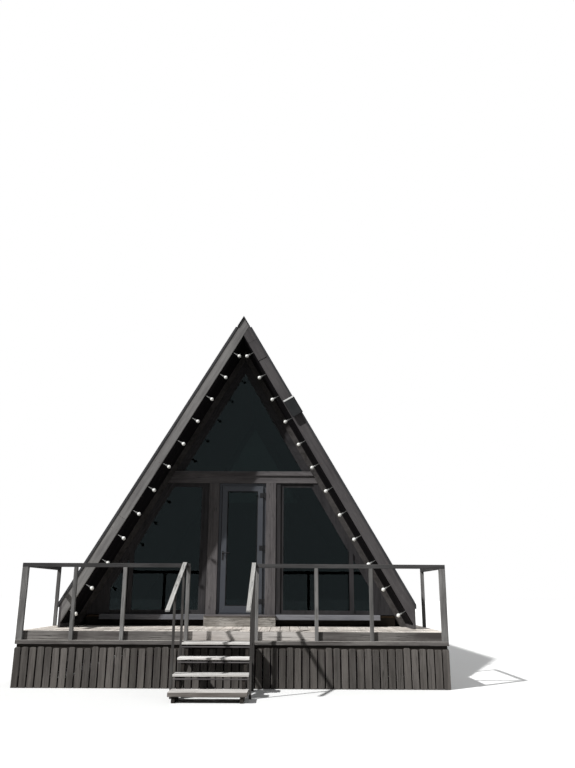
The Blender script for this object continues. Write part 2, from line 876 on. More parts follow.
def softened_node(node: str, materials: list[Material], slot: Slot, width: float = USUAL_EDGE,
                  body: Body = Body.CABIN, sloped: bool = False,
                  pick: Callable[[Vector], int] | None = None) -> None:
    """Replaces a CAD node by a copy with rounded edges and its own grain.

    Args:
        node: the CAD node's name.
        materials: its finishes.
        slot: its slot.
        width: the rounding's width in metres.
        body: the body that it rides on.
        sloped: whether the grain follows the roof's slope.
        pick: tells from a face's middle the number of its finish.
    """
    form = tidy_form(node)
    round_edges(form, width)
    own_grain(form, len(node), sloped)
    if pick:
        for face in form.faces:
            face.material_index = pick(face.calc_center_median())
    name = node + "_finished"
    piece = new_piece(name, as_mesh(form, name))
    finish_piece(piece, materials, Entry(slot, body, (node,)))


def dress(material: Material, *nodes: str) -> None:
    """Gives CAD nodes a finish and leaves their meshes alone.

    Args:
        material: the finish.
        nodes: the CAD nodes' names.
    """
    for node in nodes:
        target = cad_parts[node]
        target.data.materials.clear()
        target.data.materials.append(material)


def block(low: Vector, high: Vector) -> Form:
    """Makes a box between two corners.

    Args:
        low: the lowest corner.
        high: the highest corner.

    Returns:
        The form.
    """
    form = bmesh.new()
    bmesh.ops.create_cube(form, size=1.0)
    for vert in form.verts:
        vert.co = Vector(low[i] if vert.co[i] < 0 else high[i] for i in range(3))
    return form


def prism(outline: Outline, near: float, far: float) -> Form:
    """A flat outline in X and Z, run back along Y.

    Args:
        outline: its corners.
        near: the front along Y.
        far: the back along Y.

    Returns:
        The form.
    """
    form = bmesh.new()
    front = [form.verts.new((x, near, z)) for x, z in outline]
    back = [form.verts.new((x, far, z)) for x, z in outline]
    form.faces.new(front)
    form.faces.new(back[::-1])
    for i, first in enumerate(front):
        j = (i + 1) % len(front)
        form.faces.new((front[j], first, back[i], back[j]))
    bmesh.ops.recalc_face_normals(form, faces=form.faces)
    return form


def lathe(profile: Outline, sides: int) -> Form:
    """Turns a profile round Z and closes its ends.

    Args:
        profile: radius and height of each ring, from the foot up.
        sides: faces round.

    Returns:
        The form.
    """
    form = bmesh.new()
    turns = [2 * math.pi * i / sides for i in range(sides)]
    rings = [[form.verts.new((radius * math.cos(t), radius * math.sin(t), height)) for t in turns]
             for radius, height in profile]
    for lower, upper in zip(rings, rings[1:]):
        for i in range(sides):
            j = (i + 1) % sides
            form.faces.new((lower[i], lower[j], upper[j], upper[i]))
    form.faces.new(rings[0][::-1])
    form.faces.new(rings[-1])
    for face in form.faces:
        face.smooth = len(face.verts) == 4
    return form


def screw_head(radius: float, height: float) -> Form:
    """A round head that narrows towards its top."""
    return lathe(((radius, 0.0), (SCREW_TAPER * radius, height)), sides=12)


def as_mesh(form: Form, name: str, matrix: Matrix | None = None) -> Mesh:
    """Turns a form into a mesh and frees it.

    Args:
        form: the form.
        name: the mesh's name.
        matrix: where the form is placed first, if anywhere.

    Returns:
        The mesh.
    """
    if matrix:
        form.transform(matrix)
    mesh = bpy.data.meshes.new(name)
    form.to_mesh(mesh)
    form.free()
    return mesh


def plank(size: Vector, edge: float, run: Run, crown: float = 0.0) -> Mesh:
    """A board whose lowest corner is the origin, with rounded edges.

    Args:
        size: its size along X, Y and Z.
        edge: width of the rounding on its edges.
        run: the way its grain runs.
        crown: width of the rounding on the corners of its top end.

    Returns:
        The mesh.
    """
    form = block(Vector((0, 0, 0)), size)
    if crown:
        wide = 1 if size.x < size.y else 0
        top = [e for e in form.edges
               if all(abs(v.co.z - size.z) < SAME for v in e.verts)
               and abs(e.verts[0].co[wide] - e.verts[1].co[wide]) < SAME]
        bmesh.ops.bevel(form, geom=top, offset=crown, segments=4, profile=0.5, affect="EDGES")
    round_edges(form, edge, least=40.0)
    return store_place(as_mesh(form, "plank"), run.along)


class Joinery:
    """Gathers separate timbers or parts into one mesh, each with its own grain, tone and finish."""

    def __init__(self, name: str, seed: int) -> None:
        """Starts an empty piece.

        Args:
            name: the piece's name.
            seed: start of the random tones.
        """
        self.name = name
        self.chance = random.Random(seed)
        self.points: list[Vector] = []
        self.places: list[Vector] = []
        self.tones: list[float] = []
        self.faces: list[list[int]] = []
        self.numbers: list[int] = []
        self.smooth: list[bool] = []

    def take(self, form: Form, matrix: Matrix | None = None, finish: int = 0,
             run: Run = Run.ACROSS) -> None:
        """Adds a form.

        Args:
            form: the form, which is freed.
            matrix: where it is placed.
            finish: number of its finish.
            run: the way its grain runs before it is placed.
        """
        start = len(self.points)
        axes = grain_axes(run.along)
        shift, tone = draw_timber(self.chance)
        form.verts.index_update()
        for vert in form.verts:
            self.points.append(matrix @ vert.co if matrix else vert.co.copy())
            self.places.append(grain_spot(vert.co, axes) + shift)
            self.tones.append(tone)
        for face in form.faces:
            self.faces.append([start + vert.index for vert in face.verts])
            self.numbers.append(finish)
            self.smooth.append(face.smooth)
        form.free()

    def beam(self, low: Triple, high: Triple, run: Run, edge: float = USUAL_EDGE,
             finish: int = 0) -> None:
        """Adds a timber between two corners.

        Args:
            low: the lowest corner.
            high: the highest corner.
            run: the way its grain runs.
            edge: width of the rounding on its edges.
            finish: number of its finish.
        """
        size = Vector(high) - Vector(low)
        turn = Matrix.Identity(4)
        own = size
        if run is Run.DEEP:
            turn = Matrix.Rotation(math.pi / 2, 4, "Z")
            own = Vector((size.y, size.x, size.z))
        elif run is Run.UP:
            turn = Matrix.Rotation(-math.pi / 2, 4, "Y")
            own = Vector((size.z, size.y, size.x))
        form = block(-own / 2, own / 2)
        round_edges(form, edge)
        self.take(form, Matrix.Translation((Vector(low) + Vector(high)) / 2) @ turn, finish)

    def mesh(self) -> Mesh:
        """Makes the mesh, with its grain, tones and finish numbers."""
        mesh = bpy.data.meshes.new(self.name)
        mesh.from_pydata(self.points, [], self.faces)
        place = mesh.attributes.new(PLACE, "FLOAT_VECTOR", "POINT")
        place.data.foreach_set("vector", [part for spot in self.places for part in spot])
        tone = mesh.attributes.new(TONE, "FLOAT", "POINT")
        tone.data.foreach_set("value", self.tones)
        for polygon, number, smooth in zip(mesh.polygons, self.numbers, self.smooth):
            polygon.material_index = number
            polygon.use_smooth = smooth
        return mesh

    def build(self, materials: list[Material], entry: Entry) -> None:
        """Makes the piece.

        Args:
            materials: its finishes.
            entry: its slot, body and nodes.
        """
        finish_piece(new_piece(self.name, self.mesh()), materials, entry)


@dataclass
class BoardRow:
    """Geometry Nodes that repeat one board along a line, each a little different."""

    board: Mesh
    start: Vector
    step: Vector
    count: int
    seed: int
    shrink: Triple = (0.0, 0.0, 0.0)
    tilt: Triple = (0.0, 0.0, 0.0)

    def tree(self, material: Material) -> tuple[bpy.types.NodeTree, dict[str, str]]:
        """Builds the node tree.

        Args:
            material: the finish that the boards get.

        Returns:
            The tree, and its inputs' identifiers by name.
        """
        tree = bpy.data.node_groups.new("board row", "GeometryNodeTree")
        w = Wiring(tree)
        face = tree.interface
        kinds = {"Board": SHAPE, "Count": WHOLE, "Start": ARROW, "Step": ARROW, "Smallest": ARROW,
                 "Tilt": ARROW, "Seed": WHOLE}
        names = {key: face.new_socket(key, in_out="INPUT", socket_type=kind).identifier
                 for key, kind in kinds.items()}
        face.new_socket("Boards", in_out="OUTPUT", socket_type=SHAPE)
        given = w.add("NodeGroupInput").outputs
        back = w.add("ShaderNodeVectorMath", {"operation": "SCALE"}, n0=given["Tilt"], Scale=-1.0)
        scale, turn, spot = (
            w.add("FunctionNodeRandomValue", {"data_type": "FLOAT_VECTOR"}, n0=low, n1=high,
                  Seed=given["Seed"]).outputs[0]
            for low, high in ((given["Smallest"], (1.0,) * 3), (back.outputs[0], given["Tilt"]),
                              ((0.0,) * 3, (GRAIN_REACH,) * 3)))
        tone = w.add("FunctionNodeRandomValue", {"data_type": "FLOAT"}, n2=-TONE_REACH,
                     n3=TONE_REACH, Seed=given["Seed"])
        line = w.add("GeometryNodeMeshLine", Count=given["Count"], Start_Location=given["Start"],
                     Offset=given["Step"])
        boards = w.add("GeometryNodeInstanceOnPoints", Points=line.outputs[0],
                       Instance=given["Board"], Rotation=turn, Scale=scale)
        for kind, name, value in (("FLOAT", TONE, tone.outputs[1]), ("FLOAT_VECTOR", SHIFT, spot)):
            boards = w.add("GeometryNodeStoreNamedAttribute", {"data_type": kind, "domain": "INSTANCE"},
                           Geometry=boards.outputs[0], Name=name, Value=value)
        real = w.add("GeometryNodeRealizeInstances", Geometry=boards.outputs[0])
        dressed = w.add("GeometryNodeSetMaterial", Geometry=real.outputs[0], Material=material)
        w.add("NodeGroupOutput", n0=dressed.outputs[0])
        return tree, names

    def build(self, name: str, material: Material, entry: Entry) -> None:
        """Runs the tree and keeps the result as a plain mesh, with its object at the origin.

        Args:
            name: the piece's name.
            material: its finish.
            entry: its slot, body and nodes.
        """
        tree, names = self.tree(material)
        holder = new_piece(name + "_row", self.board)
        modifier = holder.modifiers.new("row", "NODES")
        modifier.node_group = tree
        smallest = tuple(1.0 - part for part in self.shrink)
        for key, value in (("Count", self.count), ("Start", tuple(self.start)),
                           ("Step", tuple(self.step)), ("Smallest", smallest),
                           ("Tilt", self.tilt), ("Seed", self.seed)):
            modifier[names[key]] = value
        bpy.context.view_layer.update()
        ready = holder.evaluated_get(bpy.context.evaluated_depsgraph_get())
        mesh = bpy.data.meshes.new_from_object(ready)
        mesh.name = name
        bpy.data.objects.remove(holder)
        finish_piece(new_piece(name, mesh), [material], entry)


@dataclass
class Part:
    """A sub-assembly of the cabin."""

    groups: Groups
    line: RoofLine

    def paints(self, *finishes: Finish) -> list[Material]:
        """Gives the materials of finishes."""
        return [finish.material(self.groups) for finish in finishes]

    def build(self) -> None:
        """Builds and dresses the sub-assembly's pieces."""
        raise NotImplementedError


@dataclass
class Skirts(Part):
    """The boards that close the space under the deck, upright with dark gaps, and their battens."""

    pitch: float = 0.104
    gap: float = 0.015
    edge: float = USUAL_EDGE
    crown: float = 0.022
    lowered: float = 0.028
    narrower: float = 0.06
    thinner: float = 0.2
    shorter: float = 0.05
    lean: float = 0.005
    first_seed: int = 3
    batten: float = 0.024
    batten_heights: tuple[Span, ...] = ((0.01, 0.12), (0.41, 0.546))

    def build(self) -> None:
        """Builds the rows and the battens."""
        low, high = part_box("skirt_front")
        back_low, back_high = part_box("skirt_back")
        side_low, side_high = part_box("skirt_sides")
        thick = high.y - low.y
        inside = side_high.x - thick
        side = (thick, side_high.y - side_low.y, side_high.z)
        for name, node, corner, size in (
                ("front", "skirt_front", low, (high.x - low.x, thick, high.z)),
                ("back", "skirt_back", back_low,
                 (back_high.x - back_low.x, back_high.y - back_low.y, back_high.z)),
                ("left", "skirt_sides", side_low, side),
                ("right", "skirt_sides", Vector((inside, side_low.y, side_low.z)), side)):
            self.row(name, node, corner, Vector(size))
        self.battens(high.y, back_low.y, inside)

    def row(self, name: str, node: str, low: Vector, size: Vector) -> None:
        """One row of boards.

        Args:
            name: the row's side.
            node: the CAD node that it stands for.
            low: the row's lowest corner.
            size: the row's size.
        """
        along = 0 if size.x > size.y else 1
        count = round((size[along] + self.gap) / self.pitch)
        pitch = (size[along] + self.gap) / count
        board = size.copy()
        board[along] = pitch - self.gap
        board.z -= self.lowered
        step = Vector((0, 0, 0))
        step[along] = pitch
        shrink = [self.thinner, self.thinner, self.shorter]
        shrink[along] = self.narrower
        tilt = [0.0, 0.0, 0.0]
        tilt[1 - along] = self.lean
        row = BoardRow(plank(board, self.edge, Run.UP, self.crown), low, step, count,
                       self.first_seed + len(name), tuple(shrink), tuple(tilt))
        row.build(f"skirt_boards_{name}", SKIRTING.material(self.groups),
                  Entry(Slot.STAINED, replaces=(node,)))

    def battens(self, front: float, back: float, side: float) -> None:
        """The rails behind the boards that they are nailed to.

        Args:
            front: place along Y behind the front row.
            back: place along Y before the back row.
            side: distance from the middle to the inside of the side rows.
        """
        rails = Joinery("skirt_battens", seed=21)
        thick = self.batten
        for low, high in self.batten_heights:
            for y in (front, back - thick):
                rails.beam((-side, y, low), (side, y + thick, high), Run.ACROSS)
            for x in (-side, side - thick):
                rails.beam((x, front + thick, low), (x + thick, back - thick, high), Run.DEEP)
        rails.build(self.paints(UNDER), Entry(Slot.STAINED))


@dataclass
class Deck(Part):
    """Deck planks with their nails, fascia, rim boards, joists and piers."""

    plank_pitch: float = 0.141
    plank_gap: float = 0.006
    plank_edge: float = USUAL_EDGE
    plank_shrink: Triple = (0.02, 0.0, 0.05)
    first_joist: float = -2.6365
    joist_step: float = 0.6075
    joist_count: int = 12
    joint_joist: int = 5
    joint_half: float = 0.002
    nail: tuple[Span, ...] = ((0.0045, -0.0010), (0.0036, 0.0006))
    nail_inset: float = 0.028
    nail_sunk: float = 0.0008
    fascia_t: float = 0.040
    fascia_h: float = 0.115
    fascia_gap_half: float = 0.001
    fascia_joints: Span = (-0.600, 1.136)
    ledge_joint: float = 0.930
    rim_t: float = 0.040

    def build(self) -> None:
        """Builds and dresses the deck."""
        low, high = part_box("deck_floor")
        count = round((high.x - low.x + self.plank_gap) / self.plank_pitch)
        pitch = (high.x - low.x + self.plank_gap) / count
        joint = self.first_joist + self.joint_joist * self.joist_step
        decking = DECKING.material(self.groups)
        for name, near, far, seed in (("front", low.y, joint - self.joint_half, 11),
                                      ("back", joint + self.joint_half, high.y, 12)):
            size = Vector((pitch - self.plank_gap, far - near, high.z - low.z))
            row = BoardRow(plank(size, self.plank_edge, Run.DEEP), Vector((low.x, near, low.z)),
                           Vector((pitch, 0, 0)), count, seed, self.plank_shrink)
            row.build(f"deck_planks_{name}", decking, Entry(Slot.WEATHERED, replaces=("deck_floor",)))
        self.nails(Vector((low.x, 0, high.z)), pitch, count)
        self.fascia()
        self.rim()
        dress(UNDER.material(self.groups, Run.ACROSS), "deck_joists", "floor_beams")
        dress(UNDER.material(self.groups, Run.UP), "deck_piers")

    def nails(self, corner: Vector, pitch: float, count: int) -> None:
        """Two nail heads in each plank over each joist.

        Args:
            corner: the deck's left end at its top.
            pitch: distance from plank to plank.
            count: number of planks.
        """
        heads = Joinery("plank_nails", seed=5)
        for joist in range(self.joist_count):
            y = self.first_joist + joist * self.joist_step
            for x in (self.nail_inset, pitch - self.plank_gap - self.nail_inset):
                heads.take(lathe(self.nail, sides=8), Matrix.Translation((x, y, -self.nail_sunk)))
        row = BoardRow(heads.mesh(), corner, Vector((pitch, 0, 0)), count, seed=2)
        row.build("deck_nails", NAIL.material(self.groups), Entry(Slot.BLACK_METAL))

    def fascia(self) -> None:
        """The fascia's three boards, the middle one worn pale by the stair, and the ledge boards."""
        low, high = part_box("fascia_front")
        face = high.y - self.fascia_t
        seat = high.z - self.fascia_h
        gap = self.fascia_gap_half
        boards = Joinery("fascia_boards", seed=19)
        ends = (low.x, *self.fascia_joints, high.x)
        for i, (left, right) in enumerate(zip(ends, ends[1:])):
            boards.beam((left + gap, face, seat), (right - gap, high.y, high.z), Run.ACROSS,
                        edge=0.004, finish=i % 2)
        for left, right in ((low.x, self.ledge_joint), (self.ledge_joint, high.x)):
            boards.beam((left + gap, low.y, low.z), (right - gap, high.y, seat), Run.ACROSS, edge=0.005)
        boards.build(self.paints(FASCIA, WORN), Entry(Slot.STAINED, replaces=("fascia_front",)))

    def rim(self) -> None:
        """The boards round the sides and the back of the deck frame."""
        low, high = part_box("rim_boards")
        thick = self.rim_t
        boards = Joinery("deck_rim", seed=8)
        for x in (low.x, high.x - thick):
            boards.beam((x, low.y, low.z), (x + thick, high.y, high.z), Run.DEEP)
        boards.beam((low.x + thick, high.y - thick, low.z), (high.x - thick, high.y, high.z), Run.ACROSS)
        boards.build(self.paints(FASCIA), Entry(Slot.STAINED, replaces=("rim_boards",)))


@dataclass
class Stair(Part):
    """Treads, stringers and the sloping handrails on their thin posts."""

    slope: float = 158 / 357
    rail_near: float = -2.8165
    rail_far: float = -4.1765
    rail_top: float = 1.6219
    rail_thick: float = 0.022
    rails: tuple[Span, ...] = ((-0.703, -0.648), (0.250, 0.305))
    posts: tuple[Span, ...] = ((-0.670, -0.640), (0.280, 0.310))
    post_places: Span = (-3.0555, -3.7695)
    post_w: float = 0.030
    tread_tops: tuple[float, ...] = (0.119, 0.277, 0.435, 0.593)
    tread_t: float = 0.028

    def build(self) -> None:
        """Builds and dresses the stair."""
        softened_node("stair_treads", self.paints(TREAD, POST, FOOT_TREAD), Slot.WEATHERED,
                      width=0.005, pick=self.finish_of)
        dress(UNDER.material(self.groups, Run.DEEP), "stair_stringers")
        pieces = Joinery("stair_handrails", seed=14)
        for low, high in self.rails:
            self.handrail(pieces, low, high)
        for low, high in self.posts:
            for y in self.post_places:
                top = self.rail_top + (y - self.rail_near) * self.slope - self.rail_thick / 2
                pieces.beam((low, y, 0.0), (high, y + self.post_w, top), Run.UP, edge=0.002, finish=1)
        pieces.build(self.paints(HANDRAIL, DARK_TIMBER),
                     Entry(Slot.WEATHERED, replaces=("stair_rails",)))

    def finish_of(self, spot: Vector) -> int:
        """Tells a tread from the cross-piece under it and from the foot board.

        Args:
            spot: the middle of a face.

        Returns:
            The number of its finish.
        """
        if spot.z < self.tread_tops[0] + SLACK:
            return 2
        planks = [top for top in self.tread_tops if -SLACK < top - spot.z < self.tread_t + SLACK]
        return 0 if planks else 1

    def handrail(self, pieces: Joinery, low: float, high: float) -> None:
        """One sloping handrail with plumb ends.

        Args:
            pieces: the piece that it joins.
            low: its left edge.
            high: its right edge.
        """
        run = self.rail_near - self.rail_far
        length = math.hypot(run, run * self.slope)
        form = block(Vector((0, 0, -self.rail_thick)), Vector((length, high - low, 0)))
        round_edges(form, USUAL_EDGE)
        frame = Matrix(((0, 1, 0, low), (-run / length, 0, 0, self.rail_near),
                        (-run * self.slope / length, 0, 1, self.rail_top), (0, 0, 0, 1)))
        pieces.take(form, frame)


@dataclass
class Railing(Part):
    """The railing round the deck's front: posts on the fascia, flat rails and the side returns."""

    near: float = -2.8165
    far: float = -2.7665
    foot: float = 0.600
    deck: float = 0.715
    rail_low: float = 1.550
    rail_high: float = 1.604
    post_w: float = 0.050
    corner_w: float = 0.085
    edge_x: float = 2.910
    return_y: float = -1.2085
    left_posts: Triple = (2.174, 1.495, 0.625)
    right_posts: Triple = (0.320, 1.136, 1.885)

    def build(self) -> None:
        """Builds both sides."""
        self.half(Side.LEFT, self.left_posts)
        self.half(Side.RIGHT, self.right_posts)

    def half(self, side: Side, posts: Triple) -> None:
        """The railing on one side of the stair.

        Args:
            side: the side.
            posts: distances of the posts from the middle.
        """
        piece = Joinery(f"railing_boards_{side.word}", seed=30 + side.value)

        def beam(low: Triple, high: Triple, run: Run, finish: int) -> None:
            """Adds a timber on this side, drawn as on the right one.

            Args:
                low: the lowest corner.
                high: the highest corner.
                run: the way its grain runs.
                finish: number of its finish.
            """
            if side is Side.LEFT:
                low, high = (-high[0], low[1], low[2]), (-low[0], high[1], high[2])
            piece.beam(low, high, run, finish=finish)

        half = self.post_w / 2
        edge = self.edge_x
        end = self.return_y + half
        for x in posts:
            beam((x - half, self.near, self.foot), (x + half, self.far, self.rail_low), Run.UP, 0)
        beam((edge - self.corner_w, self.near, self.foot), (edge, self.far, self.rail_low), Run.UP, 0)
        beam((edge - self.post_w, self.return_y - half, self.deck), (edge, end, self.rail_low),
             Run.UP, 0)
        beam((min(posts) - half, self.near, self.rail_low), (edge, self.far, self.rail_high),
             Run.ACROSS, 1)
        beam((edge - self.post_w, self.far, self.rail_low), (edge, end, self.rail_high), Run.DEEP, 1)
        piece.build(self.paints(RAIL_POST, TOP_RAIL),
                    Entry(Slot.STAINED, replaces=(f"railing_{side.word}",)))


@dataclass
class Gable(Part):
    """Posts, beams, window frames, glass and the boarded back wall."""

    soft: float = 0.004
    nosing_low: float = 0.863
    wall_inset: float = 0.2453
    wall_foot: float = 0.715
    wall_top: float = 2.967
    wall_back: float = 3.3665
    clear: float = 0.004
    board: float = 0.145
    board_gap: float = 0.005
    board_t: float = 0.010
    board_edge: float = 0.002

    def build(self) -> None:
        """Builds and dresses both gables."""
        post = self.paints(POST)
        softened_node("door_posts", post, Slot.STAINED, self.soft)
        softened_node("header_beam", post, Slot.STAINED)
        softened_node("window_sills", self.paints(SILL), Slot.STAINED, self.soft)
        softened_node("threshold", self.paints(THRESHOLD, POST), Slot.STAINED, self.soft,
                      pick=lambda spot: int(spot.z > self.nosing_low))
        for place in ("upper", "left", "right", "back"):
            softened_node(f"{place}_window_frame", self.paints(FRAME_BARS), Slot.STAINED)
        dress(WINDOW.material(self.groups), "upper_window_glass", "left_window_glass",
              "right_window_glass", "back_window_glass")
        dress(UNDER.material(self.groups, Run.UP), "back_wall")
        dress(ROOM.material(self.groups, Run.DEEP), "cabin_floor")
        self.back_boards()

    def back_boards(self) -> None:
        """Upright boards on the outside of the back wall, cut to the roof's slope."""
        wall = Joinery("back_wall_boards", seed=17)
        reach = self.line.half_at(self.wall_foot, self.wall_inset) - self.clear
        count = round(2 * reach / self.board)
        pitch = 2 * reach / count
        for i in range(count):
            low = -reach + i * pitch + self.board_gap / 2
            high = low + pitch - self.board_gap
            form = prism(self.under_slope(low, high), self.wall_back, self.wall_back + self.board_t)
            round_edges(form, self.board_edge)
            wall.take(form, run=Run.UP)
        wall.build(self.paints(POST), Entry(Slot.STAINED))

    def under_slope(self, low: float, high: float) -> Outline:
        """The outline of an upright board under the slope and the back beam.

        Args:
            low: its left edge.
            high: its right edge.

        Returns:
            The outline's corners.
        """
        top = self.wall_top
        foot = self.wall_foot + self.clear
        inset = self.wall_inset + self.clear
        heads = [(x, min(top, self.line.height_at(abs(x), inset))) for x in (high, low)]
        turn = self.line.half_at(top, inset)
        for x in (turn, -turn):
            if low < x < high:
                heads.insert(1, (x, top))
        return [(low, foot), (high, foot), *heads]


@dataclass
class Door(Part):
    """Door frame, mitred leaf, glass with its seal, hinge plates and handle."""

    hinge_drops: Span = (0.176, 0.154)
    hinge_side: float = 0.3
    hinge_reach: float = 0.012
    plate: Triple = (0.046, 0.004, 0.080)
    pin_clear: float = 0.009
    screw_from_middle: float = 0.080 / 3.4
    bead: float = 0.014
    bead_depth: float = 0.006

    def build(self) -> None:
        """Builds and dresses the door."""
        softened_node("door_frame", self.paints(DOOR_GREY, BLACK), Slot.DOOR_GREY,
                      width=0.002, pick=self.is_hinge)
        low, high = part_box("door_leaf")
        glass_low, glass_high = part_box("door_glass")
        leaf = Joinery("door_leaf_bars", seed=2)
        outer = (low.x, low.z, high.x, high.z)
        inner = (glass_low.x, glass_low.z, glass_high.x, glass_high.z)
        sight = (inner[0] + self.bead, inner[1] + self.bead, inner[2] - self.bead, inner[3] - self.bead)
        self.mitred(leaf, outer, inner, (low.y, high.y), edge=USUAL_EDGE, finish=0)
        for span in ((low.y + self.bead_depth, glass_low.y), (glass_high.y, high.y - self.bead_depth)):
            self.mitred(leaf, inner, sight, span, edge=0.002, finish=1)
        leaf.build(self.paints(DOOR_GREY, RUBBER), Entry(Slot.DOOR_GREY, Body.DOOR, ("door_leaf",)))
        self.hinge_plates(low, high)
        softened_node("door_handle", self.paints(BLACK), Slot.BLACK_METAL, width=0.002,
                      body=Body.DOOR)
        dress(WINDOW.material(self.groups), "door_glass")

    def is_hinge(self, spot: Vector) -> int:
        """Gives 1 where a place on the door frame lies on a hinge, and 0 elsewhere."""
        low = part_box("door_leaf")[0]
        return int(spot.y < low.y + self.hinge_reach and spot.x > self.hinge_side and spot.z > low.z)

    @staticmethod
    def corners(opening: Opening) -> Outline:
        """Gives the corners of an opening, round from the lower left."""
        left, foot, right, top = opening
        return (left, foot), (right, foot), (right, top), (left, top)

    def mitred(self, piece: Joinery, outer: Opening, inner: Opening, span: Span, edge: float,
               finish: int) -> None:
        """Four bars round an opening, mitred at the corners.

        Args:
            piece: the piece that they join.
            outer: left, foot, right and top of the outside.
            inner: left, foot, right and top of the opening.
            span: their front and back along Y.
            edge: width of the rounding.
            finish: number of their finish.
        """
        out = self.corners(outer)
        hole = self.corners(inner)
        for i in range(4):
            j = (i + 1) % 4
            form = prism((out[i], out[j], hole[j], hole[i]), *span)
            round_edges(form, edge)
            piece.take(form, finish=finish)

    def hinge_plates(self, low: Vector, high: Vector) -> None:
        """The hinge plates on the face of the leaf, each with its screws.

        Args:
            low: the leaf's lowest corner.
            high: the leaf's highest corner.
        """
        plates = Joinery("hinge_plates", seed=4)
        right = high.x - self.pin_clear
        wide, thick, tall = self.plate
        face = low.y - thick
        for z in (low.z + self.hinge_drops[0], (low.z + high.z) / 2, high.z - self.hinge_drops[1]):
            plates.beam((right - wide, face, z - tall / 2), (right, low.y, z + tall / 2), Run.ACROSS,
                        edge=0.0015)
            for sign in (-1, 1):
                place = Matrix.Translation((right - wide / 2, face, z + sign * self.screw_from_middle))
                plates.take(screw_head(radius=0.005, height=0.0015), place @ FACING_FRONT)
        plates.build(self.paints(BLACK), Entry(Slot.BLACK_METAL, Body.DOOR))


@dataclass
class Floodlight(Part):
    """A flat floodlight on a bracket, with a lens, a finned back and a pale upper edge."""

    front: float = -1.8835
    drop: float = 1.530
    inset: float = 0.075
    shift: float = 0.020
    half_l: float = 0.155
    half_w: float = 0.0925
    rim: float = 0.016
    bright_rim: float = 0.026
    body_depth: Span = (-0.088, -0.064)
    rim_depth: Span = (-0.092, -0.086)
    lens_depth: Span = (-0.0895, -0.0875)
    fins: int = 9
    fin_half: float = 0.002
    fin_ends: Span = (0.02, 0.01)
    fin_depth: Span = (-0.066, -0.052)
    driver_half: Span = (0.045, 0.035)
    driver_depth: Span = (-0.066, -0.044)
    bracket_half: float = 0.1033
    bracket_low: float = -0.0745
    foot_depth: Span = (-0.005, 0.0)
    foot_w: float = 0.018
    arm_depth: Span = (-0.062, 0.0)
    arm_w: float = 0.018
    arm_t: float = 0.005

    def build(self) -> None:
        """Builds the lamp where the CAD holds it."""
        z = self.line.apex - self.drop
        spot = Vector((self.line.half_at(z, self.inset) + self.shift, self.front, z))
        place = Matrix.Translation(spot) @ Side.RIGHT.frame
        lamp = Joinery("floodlight_body", seed=6)

        def part(along: Span, depth: Span, across: Span, finish: int = 0, edge: float = 0.002) -> None:
            """Adds a rounded part in the lamp's own frame.

            Args:
                along: its ends along the slope.
                depth: its front and back.
                across: its ends square to the slope.
                finish: number of its finish.
                edge: width of the rounding on its edges.
            """
            form = block(*(Vector(corner) for corner in zip(along, depth, across)))
            round_edges(form, edge, segments=3)
            lamp.take(form, place, finish)

        long, wide = self.half_l, self.half_w
        start, end = self.bright_rim - long, long - self.rim
        inner = (self.rim - wide, wide - self.rim)
        part((-long, long), self.body_depth, (-wide, wide), edge=0.006)
        part((start, long), self.rim_depth, (-wide, inner[0]))
        part((start, long), self.rim_depth, (inner[1], wide))
        part((-long, start), self.rim_depth, (-wide, wide), finish=2)
        part((end, long), self.rim_depth, inner)
        part((start, end), self.lens_depth, inner, finish=1, edge=0.0005)
        for i in range(self.fins):
            x = self.fin_ends[0] - long + i * 2 * (long - self.fin_ends[0]) / (self.fins - 1)
            part((x - self.fin_half, x + self.fin_half), self.fin_depth,
                 (self.fin_ends[1] - wide, wide - self.fin_ends[1]), edge=0.0008)
        box_l, box_w = self.driver_half
        part((-box_l, box_l), self.driver_depth, (-box_w, box_w), edge=0.004)
        low = self.bracket_low
        for x in (-self.bracket_half, self.bracket_half - self.arm_w):
            part((x, x + self.arm_w), self.arm_depth, (low, low + self.arm_t))
        part((-self.bracket_half, self.bracket_half), self.foot_depth, (low, low + self.foot_w))
        lamp.build(self.paints(BLACK, LENS, BARE), Entry(Slot.BLACK_METAL, replaces=("floodlight",)))


